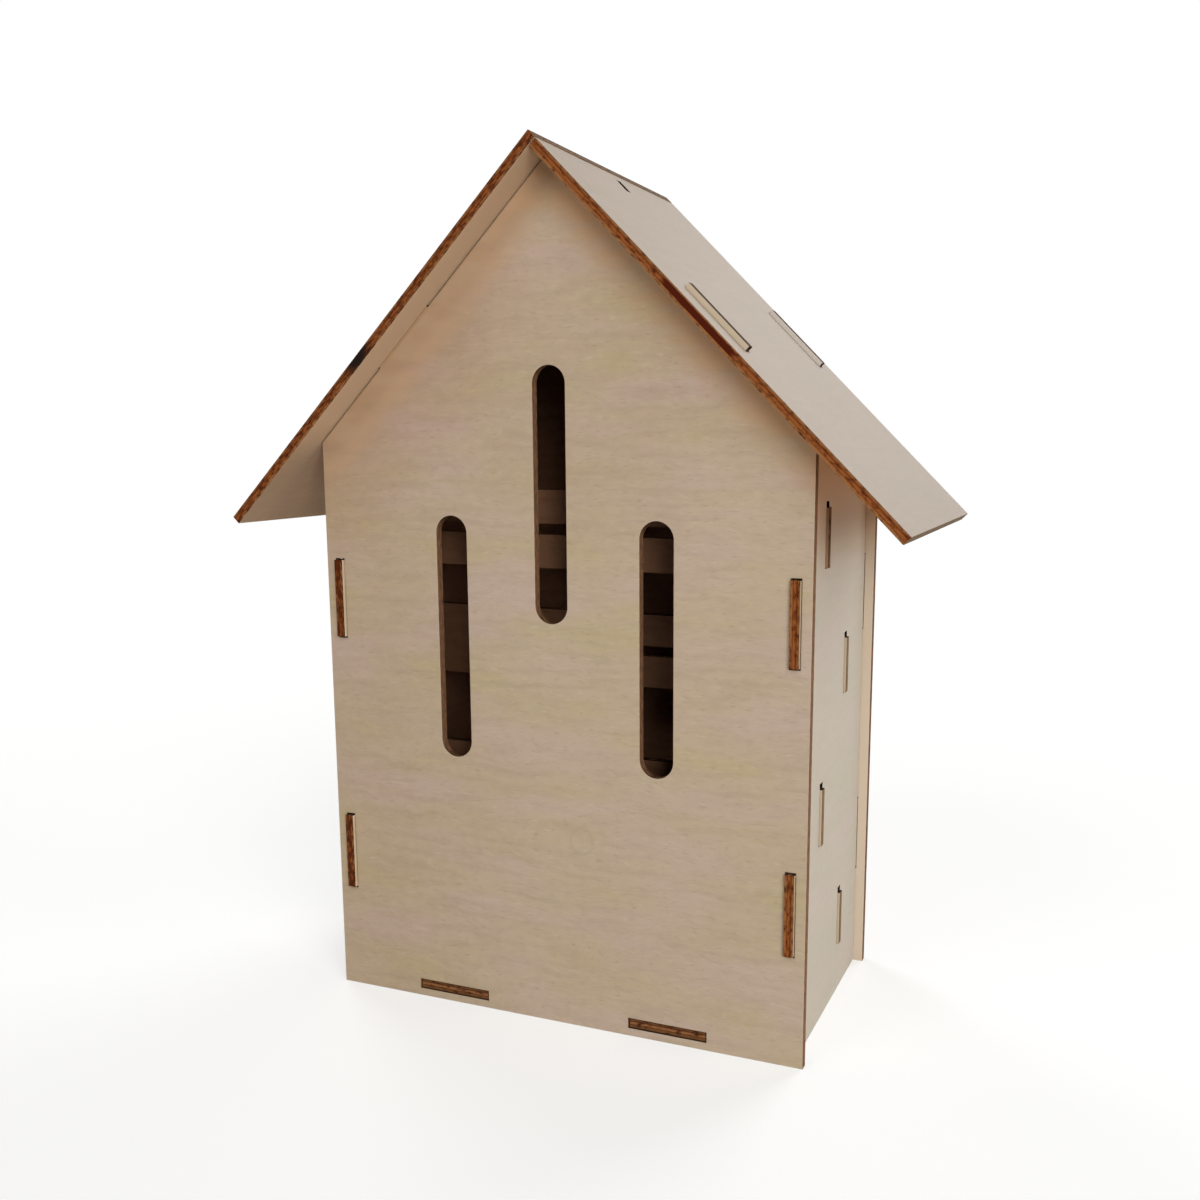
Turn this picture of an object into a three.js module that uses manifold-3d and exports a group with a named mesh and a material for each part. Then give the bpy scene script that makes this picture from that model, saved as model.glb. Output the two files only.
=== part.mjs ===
// Butterfly house: a small flat-pack box of thin plywood with a steep gabled roof.
// Every panel is one flat sheet whose tabs stand in slots of its neighbours.
// Millimetres, +Z up, the front faces -Y, the origin is on the ground under the middle.
import * as THREE from "three";
import { mergeVertices } from "three/addons/utils/BufferGeometryUtils.js";
import Module from "manifold-3d";

// The sheet and the room that its joints need
const sheet = 2.8;
const slipGap = 0.15;
const seatGap = 0.3;
const tabEndGap = 0.4;

// The box: front and back are alike in outline, and the walls stand between them
const panelWidth = 150;
const boxDepth = 78.6;
const eavesHeight = 169.6;
const roofPitchDegrees = 45;
const sideInset = 3.1;
const floorHeight = 2.5;

// The roof past the box: down its slope, and past the front and the back
const eavesOverhang = 34.4;
const vergeOverhang = 9.7;

// Tabs, with how far their ends stand out of the sheet that they pass through. Those of the
// floor stop short of its face instead.
const tabLength = 23.2;
const sideTabProud = 1;
const floorTabShort = 0.4;
const roofTabProud = 1.4;
const lowerTabHeight = 44;
const upperTabDrop = 46.2;
const floorTabSpacing = 70;
const roofTabRun = 64.5;

// The three tall entrances, with round ends
const slotWidth = 9.9;
const slotLength = 71.1;
const slotSpacing = 31.7;
const middleSlotDrop = 54;
const sideSlotDrop = 20.5;

// The four slit boards inside, in two rows and at four heights
const boardHeight = 23.6;
const boardRowSpacing = 26;
const boardTabLength = 16.7;
const boardTabProud = 0.7;
const boardHeadroom = 1.6;
const lowestBoardHeight = 24;
const highestBoardDrop = 25.6;
const slitHeight = 3.2;
const slitEndMargin = 16.8;

// The short slots by the ridge for a hanging cord
const cordSlotRun = 5.2;
const cordSlotLength = 4.6;
const cordSlotWidth = 3;

const pitch = THREE.MathUtils.degToRad(roofPitchDegrees);
const halfWidth = panelWidth / 2;
const halfDepth = boxDepth / 2;
const peakHeight = eavesHeight + halfWidth * Math.tan(pitch);
const gableSlope = halfWidth / Math.cos(pitch);
const roofPeak = peakHeight + seatGap / Math.cos(pitch);
const roofRun = gableSlope + eavesOverhang;
const roofDepth = boxDepth + 2 * vergeOverhang;

const wallOuter = halfWidth - sideInset;
const wallInner = wallOuter - sheet;
const innerHalfDepth = halfDepth - sheet - seatGap;
const innerHalfWidth = wallInner - seatGap;
const wallTop = roofPeak - wallOuter * Math.tan(pitch) - seatGap;

const tabSlotWidth = sheet + 2 * slipGap;
const tabSlotLength = tabLength + 2 * tabEndGap;
const boardSlotLength = slipGap + boardTabLength + boardHeadroom;
const boardSlotRise = (boardHeadroom - slipGap) / 2;

const sideTabHeights = [lowerTabHeight, eavesHeight - upperTabDrop];
const floorTabPlaces = [-floorTabSpacing / 2, floorTabSpacing / 2];
const boardCount = 4;
const highestBoardHeight = eavesHeight - highestBoardDrop;
const boardPitch = (highestBoardHeight - lowestBoardHeight) / (boardCount - 1);

const woodRoughness = 0.75;
const curveSteps = 16;
const cutOverrun = 1;

const wasm = await Module();
wasm.setup();

// A tab passes through one sheet and the gap in front of it, and ends proud of it.
function tabReach(proud) {
  return seatGap + sheet + proud;
}

// One straight edge of an outline, walked with the solid on its left, with a tab
// of the given length and reach at each of the places measured from its start.
function edge(outline, from, to, places = [], length = 0, reach = 0) {
  const along = to.clone().sub(from).normalize();
  const outward = new THREE.Vector2(along.y, -along.x);
  const corner = (run, out) =>
    from.clone().addScaledVector(along, run).addScaledVector(outward, out);
  for (const place of places) {
    for (const [run, out] of [
      [place - length / 2, 0],
      [place - length / 2, reach],
      [place + length / 2, reach],
      [place + length / 2, 0],
    ]) {
      const point = corner(run, out);
      outline.lineTo(point.x, point.y);
    }
  }
  outline.lineTo(to.x, to.y);
}

// A rectangular cut about its middle.
function rectangle(x, y, width, height) {
  const cut = new THREE.Shape();
  cut.moveTo(x - width / 2, y - height / 2);
  cut.lineTo(x + width / 2, y - height / 2);
  cut.lineTo(x + width / 2, y + height / 2);
  cut.lineTo(x - width / 2, y + height / 2);
  cut.closePath();
  return cut;
}

// An upright slot with round ends, from its top down.
function roundSlot(x, top, width, length) {
  const radius = width / 2;
  const cut = new THREE.Shape();
  cut.absarc(x, top - radius, radius, 0, Math.PI, false);
  cut.absarc(x, top - length + radius, radius, Math.PI, 2 * Math.PI, false);
  cut.closePath();
  return cut;
}

// A flat shape as a solid that runs from one height to another.
function slab(shape, from, to) {
  const geometry = new THREE.ExtrudeGeometry(shape, {
    depth: to - from,
    bevelEnabled: false,
    curveSegments: curveSteps,
  });
  geometry.translate(0, 0, from);
  geometry.deleteAttribute("normal");
  geometry.deleteAttribute("uv");
  const merged = mergeVertices(geometry);
  const vertProperties = merged.getAttribute("position").array;
  const triVerts = new Uint32Array(merged.index.array);
  return new wasm.Manifold(new wasm.Mesh({ numProp: 3, vertProperties, triVerts }));
}

// A solid as the geometry of a mesh, with a crisp normal for each face.
function facets(solid) {
  const { vertProperties, triVerts } = solid.getMesh();
  const shared = new THREE.BufferGeometry();
  shared.setAttribute("position", new THREE.BufferAttribute(vertProperties, 3));
  shared.setIndex(new THREE.BufferAttribute(triVerts, 1));
  const geometry = shared.toNonIndexed();
  geometry.computeVertexNormals();
  return geometry;
}

// One panel cut from the sheet, as a named mesh with its own veneer colour.
function cutPanel(name, outline, cuts, colour) {
  let solid = slab(outline, 0, sheet);
  for (const cut of cuts) {
    solid = solid.subtract(slab(cut, -cutOverrun, sheet + cutOverrun));
  }
  const geometry = facets(solid);
  const material = new THREE.MeshStandardMaterial({
    color: colour,
    roughness: woodRoughness,
    metalness: 0,
  });
  const panel = new THREE.Mesh(geometry, material);
  panel.name = name;
  return panel;
}

// Puts a panel in place: its drawing's across and up directions, and its first corner.
function place(panel, across, up, position) {
  const normal = new THREE.Vector3().crossVectors(across, up);
  panel.quaternion.setFromRotationMatrix(new THREE.Matrix4().makeBasis(across, up, normal));
  panel.position.copy(position);
  return panel;
}

const xAxis = new THREE.Vector3(1, 0, 0);
const yAxis = new THREE.Vector3(0, 1, 0);
const zAxis = new THREE.Vector3(0, 0, 1);

// The gabled outline of the front and back, with a roof tab on each slope.
function gableOutline() {
  const left = new THREE.Vector2(-halfWidth, 0);
  const right = new THREE.Vector2(halfWidth, 0);
  const rightEaves = new THREE.Vector2(halfWidth, eavesHeight);
  const peak = new THREE.Vector2(0, peakHeight);
  const leftEaves = new THREE.Vector2(-halfWidth, eavesHeight);
  const reach = tabReach(roofTabProud);
  const outline = new THREE.Shape();
  outline.moveTo(left.x, left.y);
  edge(outline, left, right);
  edge(outline, right, rightEaves);
  edge(outline, rightEaves, peak, [gableSlope - roofTabRun], tabLength, reach);
  edge(outline, peak, leftEaves, [roofTabRun], tabLength, reach);
  edge(outline, leftEaves, left);
  return outline;
}

// The slots that both gables have: four for the side walls' tabs, two for the floor's.
function gableCuts() {
  const cuts = [];
  for (const side of [-1, 1]) {
    for (const height of sideTabHeights) {
      cuts.push(rectangle(side * (wallOuter - sheet / 2), height, tabSlotWidth, tabSlotLength));
    }
  }
  for (const across of floorTabPlaces) {
    cuts.push(rectangle(across, floorHeight + sheet / 2, tabSlotLength, tabSlotWidth));
  }
  return cuts;
}

function frontPanel() {
  const cuts = gableCuts();
  const sideSlotTop = eavesHeight - sideSlotDrop;
  const middleSlotTop = peakHeight - middleSlotDrop;
  for (const side of [-1, 1]) {
    cuts.push(roundSlot(side * slotSpacing, sideSlotTop, slotWidth, slotLength));
  }
  cuts.push(roundSlot(0, middleSlotTop, slotWidth, slotLength));
  const panel = cutPanel("front_panel", gableOutline(), cuts, 0xb8a78a);
  return place(panel, xAxis, zAxis, new THREE.Vector3(0, sheet - halfDepth, 0));
}

function backPanel() {
  const panel = cutPanel("back_panel", gableOutline(), gableCuts(), 0xbcac90);
  return place(panel, xAxis, zAxis, new THREE.Vector3(0, halfDepth, 0));
}

// The height and the row of each slit board, counted up from the lowest.
function boardPlace(index) {
  const row = index % 2 === 0 ? 1 : -1;
  return {
    height: lowestBoardHeight + index * boardPitch,
    depth: (row * boardRowSpacing) / 2,
  };
}

// A side wall: two tabs into the front, two into the back, and four slots for the boards,
// each with headroom over the tab that rests in it.
function sidePanel(name, side) {
  const lowFront = new THREE.Vector2(-innerHalfDepth, 0);
  const lowBack = new THREE.Vector2(innerHalfDepth, 0);
  const highBack = new THREE.Vector2(innerHalfDepth, wallTop);
  const highFront = new THREE.Vector2(-innerHalfDepth, wallTop);
  const reach = tabReach(sideTabProud);
  const fromTop = sideTabHeights.map((height) => wallTop - height).reverse();
  const outline = new THREE.Shape();
  outline.moveTo(lowFront.x, lowFront.y);
  edge(outline, lowFront, lowBack);
  edge(outline, lowBack, highBack, sideTabHeights, tabLength, reach);
  edge(outline, highBack, highFront);
  edge(outline, highFront, lowFront, fromTop, tabLength, reach);
  const cuts = [];
  for (let index = 0; index < boardCount; index++) {
    const { height, depth } = boardPlace(index);
    cuts.push(rectangle(depth, height + boardSlotRise, tabSlotWidth, boardSlotLength));
  }
  const panel = cutPanel(name, outline, cuts, 0xc6b7a1);
  const inner = side > 0 ? wallInner : -wallOuter;
  return place(panel, yAxis, zAxis, new THREE.Vector3(inner, 0, 0));
}

// The floor lies between the four walls, with two tabs to the front and two to the back.
function floorPanel() {
  const frontLeft = new THREE.Vector2(-innerHalfWidth, -innerHalfDepth);
  const frontRight = new THREE.Vector2(innerHalfWidth, -innerHalfDepth);
  const backRight = new THREE.Vector2(innerHalfWidth, innerHalfDepth);
  const backLeft = new THREE.Vector2(-innerHalfWidth, innerHalfDepth);
  const places = floorTabPlaces.map((across) => innerHalfWidth + across);
  const reach = tabReach(-floorTabShort);
  const outline = new THREE.Shape();
  outline.moveTo(frontLeft.x, frontLeft.y);
  edge(outline, frontLeft, frontRight, places, tabLength, reach);
  edge(outline, frontRight, backRight);
  edge(outline, backRight, backLeft, places, tabLength, reach);
  edge(outline, backLeft, frontLeft);
  const panel = cutPanel("floor_panel", outline, [], 0xbeae93);
  return place(panel, xAxis, yAxis, new THREE.Vector3(0, 0, floorHeight));
}

// A slit board spans the box, with one tab in each side wall and a long slit halfway up.
function slitBoard(index) {
  const halfHeight = boardHeight / 2;
  const lowLeft = new THREE.Vector2(-innerHalfWidth, -halfHeight);
  const lowRight = new THREE.Vector2(innerHalfWidth, -halfHeight);
  const highRight = new THREE.Vector2(innerHalfWidth, halfHeight);
  const highLeft = new THREE.Vector2(-innerHalfWidth, halfHeight);
  const reach = tabReach(boardTabProud);
  const outline = new THREE.Shape();
  outline.moveTo(lowLeft.x, lowLeft.y);
  edge(outline, lowLeft, lowRight);
  edge(outline, lowRight, highRight, [halfHeight], boardTabLength, reach);
  edge(outline, highRight, highLeft);
  edge(outline, highLeft, lowLeft, [halfHeight], boardTabLength, reach);
  const slit = rectangle(0, 0, 2 * (innerHalfWidth - slitEndMargin), slitHeight);
  const { height, depth } = boardPlace(index);
  const panel = cutPanel("slit_board_" + (index + 1), outline, [slit], 0xa9967a);
  return place(panel, xAxis, zAxis, new THREE.Vector3(0, depth + sheet / 2, height));
}

// A roof panel, drawn with the run down its slope across and its depth upwards. The left
// one laps the ridge up to the outer face of the right one, which stops short of it.
function roofPanel(name, side) {
  const between = Math.sin(2 * pitch);
  const lap = -sheet / between;
  const butt = (seatGap + Math.max(0, sheet * Math.cos(2 * pitch))) / between;
  const start = side < 0 ? lap : butt;
  const outline = rectangle((start + roofRun) / 2, 0, roofRun - start, roofDepth);
  const tabDepth = halfDepth - sheet / 2;
  const tabRun = roofTabRun + seatGap * Math.tan(pitch);
  const cuts = [rectangle(cordSlotRun, 0, cordSlotLength, cordSlotWidth)];
  for (const depth of [-tabDepth, tabDepth]) {
    cuts.push(rectangle(tabRun, depth, tabSlotLength, tabSlotWidth));
  }
  const panel = cutPanel(name, outline, cuts, 0xc8bba8);
  const downSlope = new THREE.Vector3(side * Math.cos(pitch), 0, -Math.sin(pitch));
  const acrossSlope = yAxis.clone().multiplyScalar(side);
  return place(panel, downSlope, acrossSlope, new THREE.Vector3(0, 0, roofPeak));
}

const house = new THREE.Group();
house.add(frontPanel());
house.add(backPanel());
house.add(sidePanel("left_side_panel", -1));
house.add(sidePanel("right_side_panel", 1));
house.add(floorPanel());
for (let index = 0; index < boardCount; index++) house.add(slitBoard(index));
house.add(roofPanel("left_roof_panel", -1));
house.add(roofPanel("right_roof_panel", 1));

export default house;
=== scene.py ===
import math

import bmesh
import bpy
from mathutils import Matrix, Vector


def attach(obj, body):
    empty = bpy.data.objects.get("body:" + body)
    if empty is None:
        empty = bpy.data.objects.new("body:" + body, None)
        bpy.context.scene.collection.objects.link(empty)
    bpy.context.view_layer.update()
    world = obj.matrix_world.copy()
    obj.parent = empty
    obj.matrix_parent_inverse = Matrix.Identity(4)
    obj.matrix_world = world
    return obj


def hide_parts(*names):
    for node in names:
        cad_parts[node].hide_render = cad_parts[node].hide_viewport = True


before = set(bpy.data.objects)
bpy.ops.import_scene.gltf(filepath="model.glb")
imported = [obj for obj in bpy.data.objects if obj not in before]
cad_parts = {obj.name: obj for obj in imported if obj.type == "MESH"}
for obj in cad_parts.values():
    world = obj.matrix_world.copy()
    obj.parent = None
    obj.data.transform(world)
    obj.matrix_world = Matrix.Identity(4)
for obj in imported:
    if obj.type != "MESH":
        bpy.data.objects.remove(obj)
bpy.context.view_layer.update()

# Front panel: one sheet of three-ply, 2.8 mm thick, with birch veneer outside and the grain
# lying level. A laser cuts its outline, the three tall entrances and the slots for the tabs of
# walls and floor, so every cut edge is charred brown and its corners stay crisp.
MM = 0.001
SHEET = 2.8 * MM
ARRIS = 0.13 * MM
WELD = 0.001 * MM
SAME_FLAT = math.radians(0.5)
SLOT_CURVE = math.radians(35)
UP = Vector((0, 0, 1))
RIGHT = Vector((1, 0, 0))
BACK = Vector((0, 1, 0))


def span(name, axis):
    """From where to where a panel of the frame reaches along axis 0, 1 or 2."""
    places = [vertex.co[axis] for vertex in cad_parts[name].data.vertices]
    return min(places), max(places)


def linear(code):
    """An sRGB hex colour as the linear RGBA that a socket takes."""
    parts = [int(code[i:i + 2], 16) / 255 for i in (1, 3, 5)]
    lit = [c / 12.92 if c <= 0.04045 else ((c + 0.055) / 1.055) ** 2.4 for c in parts]
    return (*lit, 1)


def add(tree, kind, inputs=None, stops=None, **settings):
    """Adds one node with its settings. An input is a value or a socket to link from."""
    made = tree.nodes.new("ShaderNode" + kind)
    for key, value in settings.items():
        setattr(made, key, value)
    for socket, value in (inputs or {}).items():
        if isinstance(value, bpy.types.NodeSocket):
            tree.links.new(value, made.inputs[socket])
        else:
            made.inputs[socket].default_value = value
    for place, (position, code) in enumerate(stops or []):
        if place > 1:
            made.color_ramp.elements.new(position)
        made.color_ramp.elements[place].position = position
        made.color_ramp.elements[place].color = linear(code)
    return made


def new_surface(name, roughness, specular):
    """A material with its tree, its shader and the place in the sheet that its patterns read."""
    made = bpy.data.materials.new(name)
    made.use_nodes = True
    tree = made.node_tree
    shader = tree.nodes["Principled BSDF"]
    shader.inputs["Roughness"].default_value = roughness
    shader.inputs["Specular IOR Level"].default_value = specular
    place = add(tree, "Attribute", attribute_name="sheet_place").outputs["Vector"]
    return made, tree, shader, place


def share_of(tree, *bounds):
    """How far all bounds are met, from 0 to 1. A bound is a value with the place where it starts
    and the place where it is full, with soft ends, or it is a share that is made already."""
    met = None
    for bound in bounds:
        if not isinstance(bound, bpy.types.NodeSocket):
            value, start, full = bound
            bound = add(tree, "MapRange", {"Value": value, "From Min": start,
                                           "From Max": full},
                        interpolation_type="SMOOTHSTEP").outputs["Result"]
        if met is not None:
            bound = add(tree, "Math", {0: met, 1: bound}, operation="MULTIPLY").outputs[0]
        met = bound
    return met


# The grain wanders by about a millimetre over each centimetre or two of its length. These are
# its bends to the metre, along, across and through the sheet, and how far a full one would go.
BENDS = (28, 45, 1)
FULL_BEND = 3 * MM
# Round a knot it parts, by this share of its way from the knot's middle line, and out to so
# many of the knot's radii along the grain and across it.
KNOT_PARTS = 0.6
KNOT_ALONG = 5
KNOT_ACROSS = 2


def bent_grain(tree, place, knots):
    """The place in the sheet, shifted as the grain is bent, and the way to each knot's middle."""
    bend = add(tree, "Mapping", {"Vector": place, "Scale": BENDS})
    bend = add(tree, "TexNoise", {"Vector": bend.outputs[0], "Scale": 1.0, "Detail": 3.0,
                                  "Roughness": 0.7})
    drift = add(tree, "MapRange", {"Value": bend.outputs["Fac"], "From Min": 0.0,
                                   "From Max": 1.0, "To Min": -FULL_BEND,
                                   "To Max": FULL_BEND}).outputs["Result"]
    ways = []
    for x, z, radius in knots:
        off = add(tree, "VectorMath", {0: place, 1: (x * MM, z * MM, SHEET)},
                  operation="SUBTRACT").outputs[0]
        radii = add(tree, "VectorMath", {0: off, 1: (
            1 / (KNOT_ALONG * radius * MM), 1 / (KNOT_ACROSS * radius * MM), 0)},
                    operation="MULTIPLY").outputs[0]
        reach = add(tree, "VectorMath", {0: radii}, operation="LENGTH").outputs["Value"]
        push = add(tree, "Math", {0: share_of(tree, (reach, 1.0, 0.0)), 1: -KNOT_PARTS},
                   operation="MULTIPLY").outputs[0]
        side = add(tree, "SeparateXYZ", {"Vector": off}).outputs["Y"]
        drift = add(tree, "Math", {0: push, 1: side, 2: drift},
                    operation="MULTIPLY_ADD").outputs[0]
        ways.append(add(tree, "VectorMath", {0: off}, operation="LENGTH").outputs["Value"])
    shift = add(tree, "CombineXYZ", {"Y": drift}).outputs[0]
    bent = add(tree, "VectorMath", {0: place, 1: shift}, operation="ADD").outputs[0]
    return bent, ways


def streaks(tree, place, along, across, detail, low, high, least=0.0, most=1.0):
    """Blotches drawn out along the grain, as a share that goes from least to most. along and
    across are their size in mm, and low and high cut off the noise that they come from."""
    scaled = add(tree, "Mapping", {"Vector": place, "Scale": (
        1 / (along * MM), 1 / (across * MM), 1 / (along * MM))})
    waves = add(tree, "TexNoise", {"Vector": scaled.outputs[0], "Scale": 1.0,
                                   "Detail": detail})
    return add(tree, "MapRange", {"Value": waves.outputs["Fac"], "From Min": low,
                                  "From Max": high, "To Min": least,
                                  "To Max": most}).outputs["Result"]


# A ring is a contour of a smooth field that turns through so many radians, so rings lie a few
# millimetres apart. A knot swells the field, so that they go round it, and show most there.
RING_TURNS = 60.0
KNOT_SWELL = 0.2
PORE_DEPTH = 0.03 * MM


def birch_veneer(name, figure, warm, cool, grain, pore, pale, knots=()):
    """Rotary-peeled birch, sanded and left bare: a pale, nearly even face with drifting warm and
    cool clouds, faint rings where the knife left one year's growth for the next, and short dashes,
    its pores. figure is how strongly they show. Each knot is a place in the sheet and a radius,
    in mm."""
    made, tree, shader, place = new_surface(name, roughness=0.62, specular=0.3)
    bent, ways = bent_grain(tree, place, knots)
    # Each pattern: length along the grain and width across it, in mm, detail and cut-off.
    patterns = {
        "cloud": (52, 15, 4.0, 0.34, 0.66),
        "grain": (22, 2.4, 3.0, 0.46, 0.74),
        "field": (130, 26, 1.0, 0.0, 1.0),
        "mottle": (3.6, 2.2, 2.0, 0.4, 0.7),
        "pore": (2.6, 0.6, 2.0, 0.58, 0.78),
        "pale": (3.4, 0.7, 2.0, 0.58, 0.78),
    }
    shows = {what: streaks(tree, bent, *sizes) for what, sizes in patterns.items()}
    field = shows["field"]
    clear = 0.1 * figure
    for way, (*_, radius) in zip(ways, knots):
        swell = add(tree, "MapRange", {"Value": way, "From Max": radius * MM,
                                       "To Min": KNOT_SWELL, "To Max": 0.0},
                    interpolation_type="SMOOTHSTEP").outputs["Result"]
        field = add(tree, "Math", {0: field, 1: swell}).outputs[0]
        clear = add(tree, "Math", {0: swell, 1: clear}).outputs[0]
    turns = add(tree, "Math", {0: field, 1: RING_TURNS}, operation="MULTIPLY")
    waves = add(tree, "Math", {0: turns.outputs[0]}, operation="SINE")
    rings = add(tree, "MapRange", {"Value": waves.outputs[0], "From Min": 0.3, "From Max": 1.0})
    colour = add(tree, "Mix", {0: shows["cloud"], 6: linear(warm), 7: linear(cool)},
                 data_type="RGBA")
    for shown, code, most in ((shows["grain"], grain, 0.45 * figure),
                              (rings.outputs["Result"], grain, clear),
                              (shows["mottle"], grain, 0.25 * figure),
                              (shows["pore"], pore, 0.7 * figure),
                              (shows["pale"], pale, 0.5 * figure)):
        share = add(tree, "Math", {0: shown, 1: most}, operation="MULTIPLY")
        colour = add(tree, "Mix", {0: share.outputs[0], 6: colour.outputs[2],
                                   7: linear(code)}, data_type="RGBA")
    tree.links.new(colour.outputs[2], shader.inputs["Base Color"])
    relief = add(tree, "Bump", {"Height": shows["pore"], "Strength": 0.15,
                                "Distance": PORE_DEPTH}, invert=True)
    tree.links.new(relief.outputs[0], shader.inputs["Normal"])
    return made


# A blotch of char in mm, in the sheet's plane and through its thickness, and the char's depth.
BLOTCH = 2.2
BLOTCH_THROUGH = 0.8
CHAR_DEPTH = 0.1 * MM


def charred_cut(name):
    """Three plies cut by a laser, with two dark glue lines. Cut across the grain they are burnt
    to ember brown, cut along it to a greyer soot, both in blotches as the beam's speed changed.
    Where the char was wiped thin the bare ply shows through as a dull grey brown."""
    made, tree, shader, place = new_surface(name, roughness=0.8, specular=0.08)
    parts = add(tree, "SeparateXYZ", {"Vector": place})
    depth = add(tree, "Math", {0: parts.outputs["Z"], 1: 1 / SHEET}, operation="MULTIPLY")
    ember = add(tree, "ValToRGB", {"Fac": depth.outputs[0]}, stops=[
        (0.0, "#9C6A42"), (0.26, "#90592E"), (0.33, "#6A3416"), (0.40, "#93562C"),
        (0.60, "#8A4A20"), (0.68, "#5C280C"), (0.75, "#854E26"), (1.0, "#8E6440")])
    sooty = add(tree, "ValToRGB", {"Fac": depth.outputs[0]}, stops=[
        (0.0, "#44301E"), (0.24, "#523A26"), (0.32, "#3A2616"), (0.40, "#8A6440"),
        (0.60, "#8C6642"), (0.68, "#382414"), (0.76, "#4E3824"), (1.0, "#3C2A1C")])
    across = add(tree, "Attribute", attribute_name="cut_across").outputs["Fac"]
    burn = add(tree, "Attribute", attribute_name="cut_burn").outputs["Fac"]
    plies = add(tree, "Mix", {0: across, 6: sooty.outputs["Color"], 7: ember.outputs["Color"]},
                data_type="RGBA")
    blotch = add(tree, "Mapping", {"Vector": place, "Scale": (
        1 / (BLOTCH * MM), 1 / (BLOTCH * MM), 1 / (BLOTCH_THROUGH * MM))})
    blotch = add(tree, "TexNoise", {"Vector": blotch.outputs[0], "Scale": 1.0, "Detail": 4.0,
                                    "Roughness": 0.65})
    soot = add(tree, "Math", {0: blotch.outputs["Fac"], 1: burn})
    soot = add(tree, "MapRange", {"Value": soot.outputs[0], "From Min": 0.48,
                                  "From Max": 0.66})
    burnt = add(tree, "Mix", {0: across, 6: linear("#2A1C12"), 7: linear("#4C2008")},
                data_type="RGBA")
    colour = add(tree, "Mix", {0: soot.outputs[0], 6: plies.outputs[2], 7: burnt.outputs[2]},
                 data_type="RGBA")
    wiped = add(tree, "Attribute", attribute_name="cut_wiped").outputs["Fac"]
    colour = add(tree, "Mix", {0: wiped, 6: colour.outputs[2], 7: linear("#967F66")},
                 data_type="RGBA")
    tree.links.new(colour.outputs[2], shader.inputs["Base Color"])
    relief = add(tree, "Bump", {"Height": blotch.outputs["Fac"], "Strength": 0.3,
                                "Distance": CHAR_DEPTH})
    tree.links.new(relief.outputs[0], shader.inputs["Normal"])
    return made


def house_place(tree):
    """Where a spot lies in the house: the spot, the spot folded over to the right, the back and
    above, its x and height, how far it is aside and ahead of the middle, and its rise. The rise
    is the way aside and the height together. It stays the same along a slope of the gable, as
    both slopes stand at 45 degrees."""
    spot = add(tree, "TexCoord").outputs["Object"]
    folded = add(tree, "VectorMath", {0: spot}, operation="ABSOLUTE").outputs[0]
    plain = add(tree, "SeparateXYZ", {"Vector": spot}).outputs
    parts = add(tree, "SeparateXYZ", {"Vector": folded}).outputs
    rise = add(tree, "Math", {0: parts["X"], 1: parts["Z"]}).outputs[0]
    return {"spot": spot, "folded": folded, "x": plain["X"], "height": plain["Z"],
            "aside": parts["X"], "ahead": parts["Y"], "rise": rise}


def near_point(tree, place, point, reach, full):
    """How near a place is to a point, as a share: 0 out at reach, and 1 from full inwards."""
    away = add(tree, "VectorMath", {0: place, 1: point}, operation="DISTANCE")
    return share_of(tree, (away.outputs["Value"], reach, full))


def tint(made, code, *bounds, blend="MIX"):
    """Lays a second colour over a material's own, or multiplies by it, where the bounds say."""
    tree = made.node_tree
    shader = tree.nodes["Principled BSDF"]
    own = shader.inputs["Base Color"].links[0].from_socket
    over = add(tree, "Mix", {0: share_of(tree, *bounds), 6: own, 7: linear(code)},
               data_type="RGBA", blend_type=blend)
    tree.links.new(over.outputs[2], shader.inputs["Base Color"])


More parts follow.
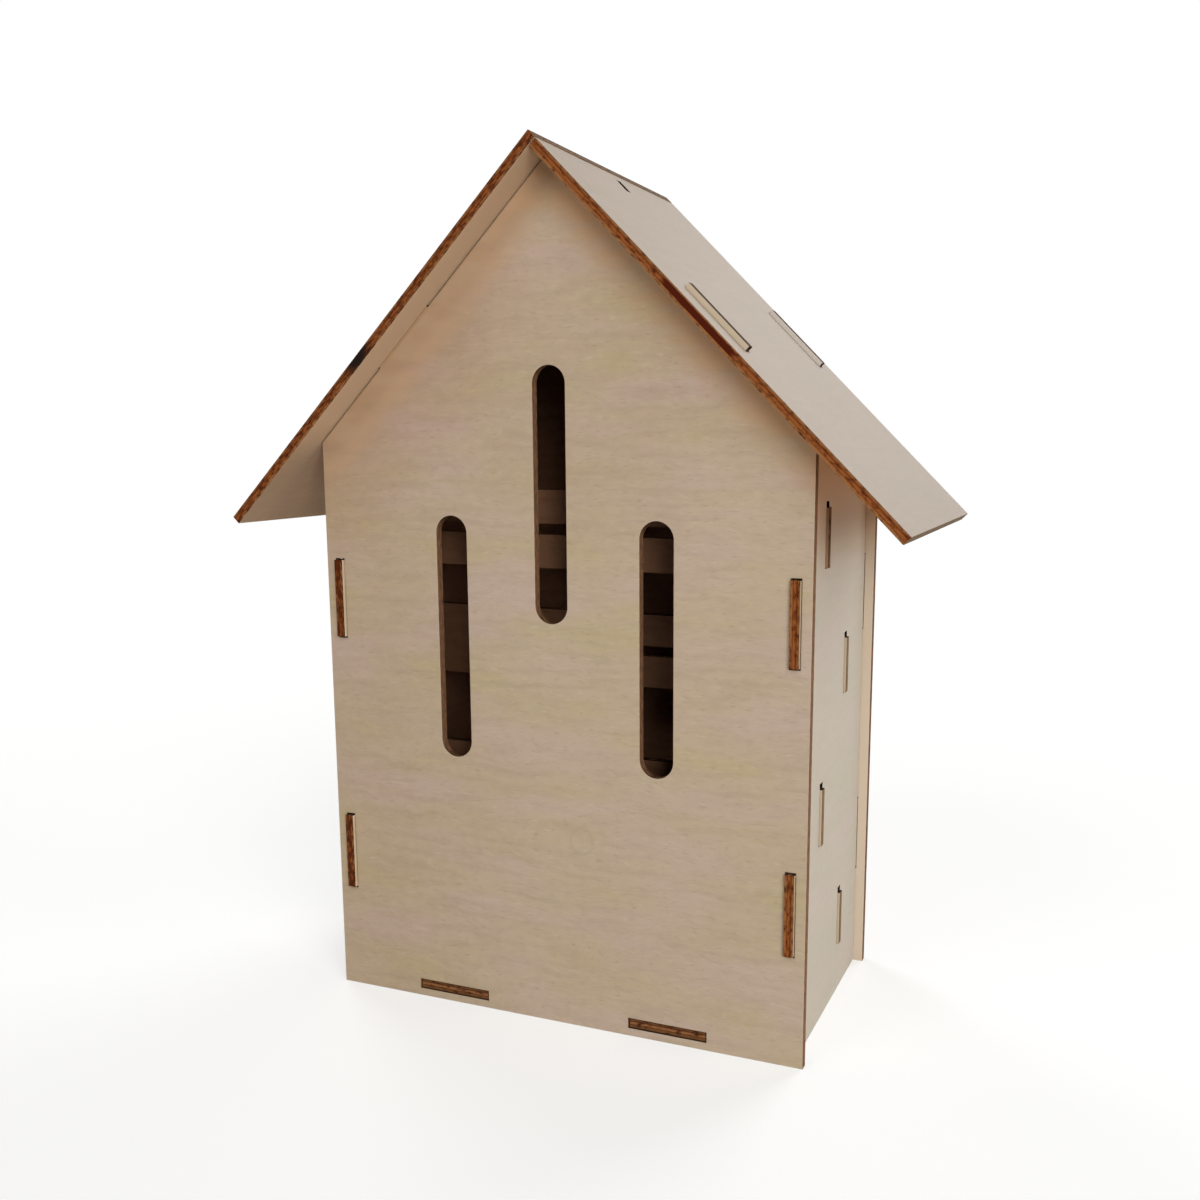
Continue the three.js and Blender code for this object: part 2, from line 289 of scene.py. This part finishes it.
def dress(name, facing, grain, outer, inner, shift, burn=0.0, ember=(0.0, 1.0),
          wiped=(0.0, 0.0)):
    """Copies a panel's solid, merges it, takes its sharp arrises off and gives it veneer on its
    two faces and char on its cuts. facing points out of the sheet's better face, shift is where
    in the veneer the panel was cut, in mm, and burn is how much more than usual its cuts are
    burnt. ember is how far they are ember brown, not soot, and wiped is how far the char is off:
    both for cuts along the grain, then for cuts across it."""
    shape = bmesh.new()
    shape.from_mesh(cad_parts[name].data)
    bmesh.ops.remove_doubles(shape, verts=shape.verts, dist=WELD)
    bmesh.ops.dissolve_limit(shape, angle_limit=SAME_FLAT, verts=shape.verts,
                             edges=shape.edges)
    arrises = [e for e in shape.edges if len(e.link_faces) == 2 and
               sum(abs(f.normal.dot(facing)) > 0.9 for f in e.link_faces) == 1]
    bmesh.ops.bevel(shape, geom=arrises, offset=ARRIS, segments=2, profile=0.5,
                    affect="EDGES", material=-1)
    cut_across = shape.faces.layers.float.new("cut_across")
    cut_burn = shape.faces.layers.float.new("cut_burn")
    cut_wiped = shape.faces.layers.float.new("cut_wiped")
    for face in shape.faces:
        turned = face.normal.dot(facing)
        face.material_index = 0 if turned > 0.5 else 1 if turned < -0.5 else 2
        face.smooth = abs(turned) < 0.1
        end_grain = abs(face.normal.dot(grain)) ** 3
        face[cut_across] = ember[0] + (ember[1] - ember[0]) * end_grain
        face[cut_wiped] = wiped[0] + (wiped[1] - wiped[0]) * end_grain
        face[cut_burn] = burn
    for edge in shape.edges:
        edge.smooth = edge.calc_face_angle(0) < SLOT_CURVE and all(
            face.smooth for face in edge.link_faces)
    mesh = bpy.data.meshes.new(name + "_dressed")
    shape.to_mesh(mesh)
    shape.free()
    across = facing.cross(grain)
    low = min(v.co.dot(facing) for v in mesh.vertices)
    places = mesh.attributes.new("sheet_place", "FLOAT_VECTOR", "POINT")
    for vertex, place in zip(mesh.vertices, places.data):
        place.vector = (vertex.co.dot(grain) + shift[0] * MM,
                        vertex.co.dot(across) + shift[1] * MM,
                        vertex.co.dot(facing) - low)
    for finish in (outer, inner, charred):
        mesh.materials.append(finish)
    piece = bpy.data.objects.new(name + "_dressed", mesh)
    bpy.context.scene.collection.objects.link(piece)
    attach(piece, "root")
    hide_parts(name)
    return piece


# Limits in the house, taken at the middle of a panel's thickness, where a tint's start is
# hidden: past the side walls, past the gables and over the roof. A pair is where a tint starts
# and where it is full.
SHARP = 0.01 * MM
WALL_X = sum(span("right_side_panel", 0)) / 2
GABLE_Y = -sum(span("front_panel", 1)) / 2
PEAK = span("front_panel", 2)[1]
ROOF_TOP = span("left_roof_panel", 2)[1]
ROOF_MIDDLE = ROOF_TOP - SHEET / math.sqrt(2)
PAST_WALLS = (WALL_X, WALL_X + SHARP)
PAST_GABLES = (GABLE_Y, GABLE_Y + SHARP)
OVER_ROOF = (ROOF_MIDDLE, ROOF_MIDDLE + SHARP)

charred = charred_cut("laser_charred_plywood_edge")
# A spot where the beam dwelt is burnt darker: its colour, its place in mm, how far it is full
# and how far it reaches, and what share of the sheet's thickness it takes, about CORE.
CORE = 0.55 * SHEET
tree = charred.node_tree
at = house_place(tree)
place = add(tree, "Attribute", attribute_name="sheet_place").outputs["Vector"]
depth = add(tree, "SeparateXYZ", {"Vector": place}).outputs["Z"]
for code, spot, full, reach, thick in (("#1C100A", (-55.5, -49, 194), 2.5, 7.5, 1.0),
                                       ("#4A1604", (48.5, -50, 202.5), 12.5, 15, 0.6),
                                       ("#2A1C12", (4.3, 0, 242.7), 3.4, 4.6, 1.2),
                                       ("#2A1C12", (-4.3, 0, 242.7), 3.4, 4.6, 1.2)):
    near = near_point(tree, at["spot"], [along * MM for along in spot], reach * MM, full * MM)
    core = add(tree, "Math", {0: depth, 1: CORE, 2: SHEET * thick / 2}, operation="COMPARE")
    tint(charred, code, near, core.outputs[0])
# So is the top of each slot that takes a board, this far over the board's middle. All boards
# lie alike once the house is folded over, and MODULO brings each down to the lowest.
SLOT_TOP = 10.5 * MM
SLOT_BURN = (3.4 * MM, 2.7 * MM)
board_y = sum(span("slit_board_1", 1)) / 2
lowest, second = (sum(span(f"slit_board_{number}", 2)) / 2 for number in (1, 2))
nearest = add(tree, "VectorMath", {0: at["folded"], 1: (1, 1, second - lowest)},
              operation="MODULO").outputs[0]
tint(charred, "#1C100A",
     near_point(tree, nearest, (WALL_X, board_y, lowest + SLOT_TOP), *SLOT_BURN))
# The ends of the tabs that come up through the roof are burnt too.
TAB_END = ROOF_TOP + 0.62 * MM
tint(charred, "#3A2618", (at["rise"], TAB_END, TAB_END + SHARP))

# The inside is seen only by light that the brown cuts pass on, so there the veneer is painted a
# dark brown: painted shade, darker and browner than the wood. Where a sheet's inner face comes
# out past the walls it is as pale as the outside, and beside the walls it is painted warmer
# under the eaves: painted warm bounce light.
EAVES_LIGHT = (128 * MM, 166 * MM)
PAINTED_SHADE_BROWN = {"warm": "#9C6E52", "cool": "#946A4C", "grain": "#825A3E", "pore": "#785034",
           "pale": "#A2785A"}
shaded_inner_birch = birch_veneer("inner_birch_veneer_painted_shade", 1.0, **PAINTED_SHADE_BROWN)
at = house_place(shaded_inner_birch.node_tree)
beside_walls = (at["aside"], *PAST_WALLS)
tint(shaded_inner_birch, "#D4C2AC", beside_walls)
tint(shaded_inner_birch, "#CCB89C", (at["ahead"], *PAST_GABLES))
tint(shaded_inner_birch, "#C3BAAE", (at["rise"], *OVER_ROOF))
tint(shaded_inner_birch, "#E8BC94", (at["height"], *EAVES_LIGHT), beside_walls)

# The front has four knots: a place in the sheet and a radius, in mm.
KNOTS = ((-12.7, 81.9, 4), (8.8, 56.5, 9), (10.4, 23.3, 4), (54, 60, 5))
front_birch = birch_veneer("front_birch_veneer", 0.8, warm="#BFA898", cool="#BAA785",
                           grain="#A5917A", pore="#A08C72", pale="#CBBBA2", knots=KNOTS)
# Along both slopes of the gable, under the roof's overhang, the veneer is painted warmer, the
# left one more: painted shade with the warm light thrown back by the roof's underside. It
# lies in streaks along the grain, about 18 mm long and 5 mm wide.
VERGE_SHADE = (PEAK - 20 * MM, PEAK)
LEFT_SIDE = (5 * MM, -30 * MM)
tree = front_birch.node_tree
at = house_place(tree)
place = add(tree, "Attribute", attribute_name="sheet_place").outputs["Vector"]
streaked = streaks(tree, place, along=18, across=5, detail=3.0, low=0.38, high=0.62,
                   least=0.55, most=1.3)
verge_shade = share_of(tree, (at["rise"], *VERGE_SHADE), streaked)
left = share_of(tree, (at["x"], *LEFT_SIDE))
tint(front_birch, "#C8A07A", verge_shade)
tint(front_birch, "#CDB596", verge_shade, left)
# A fainter painted shade reaches further down on the left.
FAINT_VERGE_SHADE = (PEAK - 55 * MM, PEAK - 12 * MM)
tint(front_birch, "#F3E9E5", (at["rise"], *FAINT_VERGE_SHADE), left, blend="MULTIPLY")
# The sheet is a little deeper in colour towards its left edge and round the gable's middle.
LEFT_EDGE = (0.0, -60 * MM)
GABLE_MIDDLE = (6 * MM, -38 * MM, 186 * MM)
ROUND_MIDDLE = (55 * MM, 25 * MM)
tint(front_birch, "#F7F4F1", (at["x"], *LEFT_EDGE), blend="MULTIPLY")
tint(front_birch, "#F9F7F4", near_point(tree, at["spot"], GABLE_MIDDLE, *ROUND_MIDDLE),
     blend="MULTIPLY")
# Its rim along the left slope is browned by the cut.
RIM = (PEAK - 0.8 * MM, PEAK - 0.3 * MM)
tint(front_birch, "#B6946F", (at["rise"], *RIM), left)
# The tabs that come up through the roof are clean.
tint(front_birch, "#BFAE94", (at["rise"], *OVER_ROOF))
dress("front_panel", -BACK, RIGHT, front_birch, shaded_inner_birch, shift=(0, 0),
      burn=0.06, ember=(0.0, 0.9), wiped=(0.0, 0.32))

# Back panel: the same gable without entrances, from the same sheet and with the same slots. It
# stands outside the walls' back edges and takes their tabs as the front does.
dress("back_panel", BACK, RIGHT, front_birch, shaded_inner_birch, shift=(410, 230),
      burn=0.06, ember=(0.0, 0.6), wiped=(0.0, 0.2))

# Side walls: two upright sheets between the gables. Their tabs go through both gables, and
# four slots in each take the boards. Their veneer is greyer and its grain lies level too.
wall_birch = birch_veneer("wall_birch_veneer", 0.5, warm="#C7B9AC", cool="#C2B9A6",
                          grain="#B9AC99", pore="#B3A38F", pale="#CEC3B5")
# Under the eaves it is painted warmer, where only light from the brown cuts of the roof comes:
# painted warm bounce light. Its tabs in front of the gable are a little darker.
at = house_place(wall_birch.node_tree)
tint(wall_birch, "#E7B688", (at["height"], *EAVES_LIGHT))
tint(wall_birch, "#B4A284", (at["ahead"], *PAST_GABLES))
dress("left_side_panel", -RIGHT, BACK, wall_birch, shaded_inner_birch,
      shift=(120, 530), burn=0.13)
dress("right_side_panel", RIGHT, BACK, wall_birch, shaded_inner_birch,
      shift=(700, 90), burn=0.02)

# Floor: a sheet that hangs on two tabs in each gable, a few millimetres off the ground. Its
# face up has the inside's painted dark brown, painted shade, and its plain one is down.
dress("floor_panel", UP, RIGHT, shaded_inner_birch, front_birch, shift=(60, 880),
      ember=(0.4, 1.0))

# Slit boards: four level strips in two staggered rows, each with a long slit that a butterfly
# holds on to. Their end tabs stand in the side walls. Inside they are painted the same dark
# brown as the inside: painted shade. Past the walls the tabs are pale, and the top board's are
# painted browner: painted shade under the eaves.
EAVES_SHADE = (128 * MM, 132 * MM)
shaded_board_birch = birch_veneer("slit_board_birch_veneer_painted_shade", 1.0, **PAINTED_SHADE_BROWN)
at = house_place(shaded_board_birch.node_tree)
beside_walls = (at["aside"], *PAST_WALLS)
tint(shaded_board_birch, "#C0AE94", beside_walls)
tint(shaded_board_birch, "#A88466", beside_walls, (at["height"], *EAVES_SHADE))
# The char is half wiped off the ends of all but the top one, whose dark ends stand partly
# for painted shade under the eaves.
for number, wiped in enumerate((0.5, 0.5, 0.5, 0.0), start=1):
    dress(f"slit_board_{number}", -BACK, RIGHT, shaded_board_birch, shaded_board_birch,
          shift=(150 * number, 270 * number), burn=0.04, ember=(0.0, 0.45),
          wiped=(0.0, wiped))

# Roof panels: two sheets at right angles, the left one lapping the right one at the ridge. The
# gables' tabs come up through their slots, and a short slot by the ridge takes a cord.
UPPER_ROOF_SHADE = (148 * MM, 185 * MM)
SHOULDER_LIGHT = (163 * MM, 178 * MM)
roof_birch = birch_veneer("roof_birch_veneer", 0.5, warm="#98887A", cool="#938675",
                          grain="#8A7B6B", pore="#837362", pale="#A09383")
at = house_place(roof_birch.node_tree)
# Higher up the roof is painted a shade darker: painted shade.
tint(roof_birch, "#F8F5F1", (at["height"], *UPPER_ROOF_SHADE), blend="MULTIPLY")
# The undersides come from another, warmer part of the sheet. The right one is the paler, and
# the left one is painted paler over the gable's shoulder: painted light from the front.
left_under = birch_veneer("left_underside_birch_veneer", 0.5, warm="#BA9A7E", cool="#B09274",
                          grain="#A28264", pore="#94765C", pale="#C2A288")
right_under = birch_veneer("right_underside_birch_veneer", 0.5, warm="#E6C6A0",
                           cool="#E2C29C", grain="#D8B48C", pore="#CCA880", pale="#EAD0AE")
at = house_place(left_under.node_tree)
tint(left_under, "#CFB192", (at["height"], *SHOULDER_LIGHT))
left_slope = Vector((-1, 0, 1)).normalized()
right_slope = Vector((1, 0, 1)).normalized()
dress("left_roof_panel", left_slope, BACK, roof_birch, left_under,
      shift=(320, 640), burn=0.06, wiped=(0.15, 0.0))
dress("right_roof_panel", right_slope, BACK, roof_birch, right_under,
      shift=(900, 410), wiped=(0.7, 0.0))

# Ground: a plain board under matt white paper. It keeps the house's soft shadow and fades into
# the white behind it. The camera sees the paper lifted to white by a glow of its own.
GROUND_RADIUS = 1.4
FADE_FROM = 0.22
FADE_TO = 0.75
PAPER_GLOW = 0.51
shape = bmesh.new()
bmesh.ops.create_circle(shape, cap_ends=True, radius=GROUND_RADIUS, segments=64)
ground = bpy.data.meshes.new("ground")
shape.to_mesh(ground)
shape.free()
floor = bpy.data.objects.new("ground", ground)
bpy.context.scene.collection.objects.link(floor)
paper = bpy.data.materials.new("white_paper")
paper.use_nodes = True
tree = paper.node_tree
tree.nodes.clear()
seen = add(tree, "LightPath").outputs["Is Camera Ray"]
matt = add(tree, "BsdfDiffuse", {"Color": linear("#BDBDBB")})
glow = add(tree, "Math", {0: seen, 1: PAPER_GLOW}, operation="MULTIPLY")
white = add(tree, "Emission", {"Color": linear("#FFFFFF"), "Strength": glow.outputs[0]})
paper_look = add(tree, "AddShader", {0: matt.outputs[0], 1: white.outputs[0]})
centre = add(tree, "TexCoord").outputs["Object"]
way_out = add(tree, "VectorMath", {0: centre}, operation="LENGTH").outputs["Value"]
clear = add(tree, "BsdfTransparent")
faded = add(tree, "MixShader", {0: share_of(tree, (way_out, FADE_FROM, FADE_TO)),
                                1: paper_look.outputs[0], 2: clear.outputs[0]})
add(tree, "OutputMaterial", {"Surface": faded.outputs[0]})
ground.materials.append(paper)

# Background: white where the camera or a gloss sees it, or what is behind a clear surface, and
# a plain grey light elsewhere.
SKY = 0.03
world = bpy.data.worlds.new("studio")
bpy.context.scene.world = world
world.use_nodes = True
tree = world.node_tree
tree.nodes.clear()
path = add(tree, "LightPath").outputs
direct = add(tree, "Math", {0: path["Is Camera Ray"], 1: path["Is Glossy Ray"]},
             operation="MAXIMUM")
direct = add(tree, "Math", {0: direct.outputs[0], 1: path["Is Transmission Ray"]},
             operation="MAXIMUM")
level = add(tree, "MapRange", {"Value": direct.outputs[0], "To Min": SKY, "To Max": 1.0})
air = add(tree, "Background", {"Color": linear("#FFFFFF"), "Strength": level.outputs[0]})
add(tree, "OutputWorld", {"Surface": air.outputs[0]})

# Lights: broad soft boxes. Most light comes from the right of the front, low and high, some
# from the upper left, and weak ones keep the left side and the back from going black.
TARGET = Vector((0, 0, 0.12))
LAMP_REACH = 1.4
LAMP_SIZE = 0.8
# Turned this far to the right from the front, raised this far, and with this many watts.
for name, turn, lift, power in (
        ("low_right", 40, 12, 9.8),
        ("high_right", 45, 40, 5.4),
        ("side", 90, 12, 4.3),
        ("high_left", -20, 40, 4.8),
        ("low_left", -50, 12, 1.6),
        ("back_left", -125, 25, 9),
        ("back_right", 160, 35, 9)):
    lamp = bpy.data.lights.new(name, "AREA")
    lamp.shape = "DISK"
    lamp.size = LAMP_SIZE
    lamp.energy = power
    held = bpy.data.objects.new(name, lamp)
    bpy.context.scene.collection.objects.link(held)
    turn, lift = math.radians(turn), math.radians(lift)
    towards = Vector((math.sin(turn) * math.cos(lift), -math.cos(turn) * math.cos(lift),
                      math.sin(lift)))
    held.location = TARGET + towards * LAMP_REACH
    held.rotation_euler = (-towards).to_track_quat("-Z", "Y").to_euler()

# Camera: a little above the middle of the house and to the right of its front, where the
# photograph's own perspective puts it.
EYE = (0.15264, -0.34288, 0.17160)
EYE_TILT = math.radians(80.2914)
EYE_TURN = math.radians(22.008)
camera = bpy.data.cameras.new("camera")
camera.sensor_width = 36
camera.lens = 36.589
camera.shift_x = -0.0419
camera.shift_y = 0.0372
eye = bpy.data.objects.new("camera", camera)
bpy.context.scene.collection.objects.link(eye)
eye.location = EYE
eye.rotation_euler = (EYE_TILT, 0, EYE_TURN)
bpy.context.scene.camera = eye
bpy.context.scene.view_settings.view_transform = "Standard"
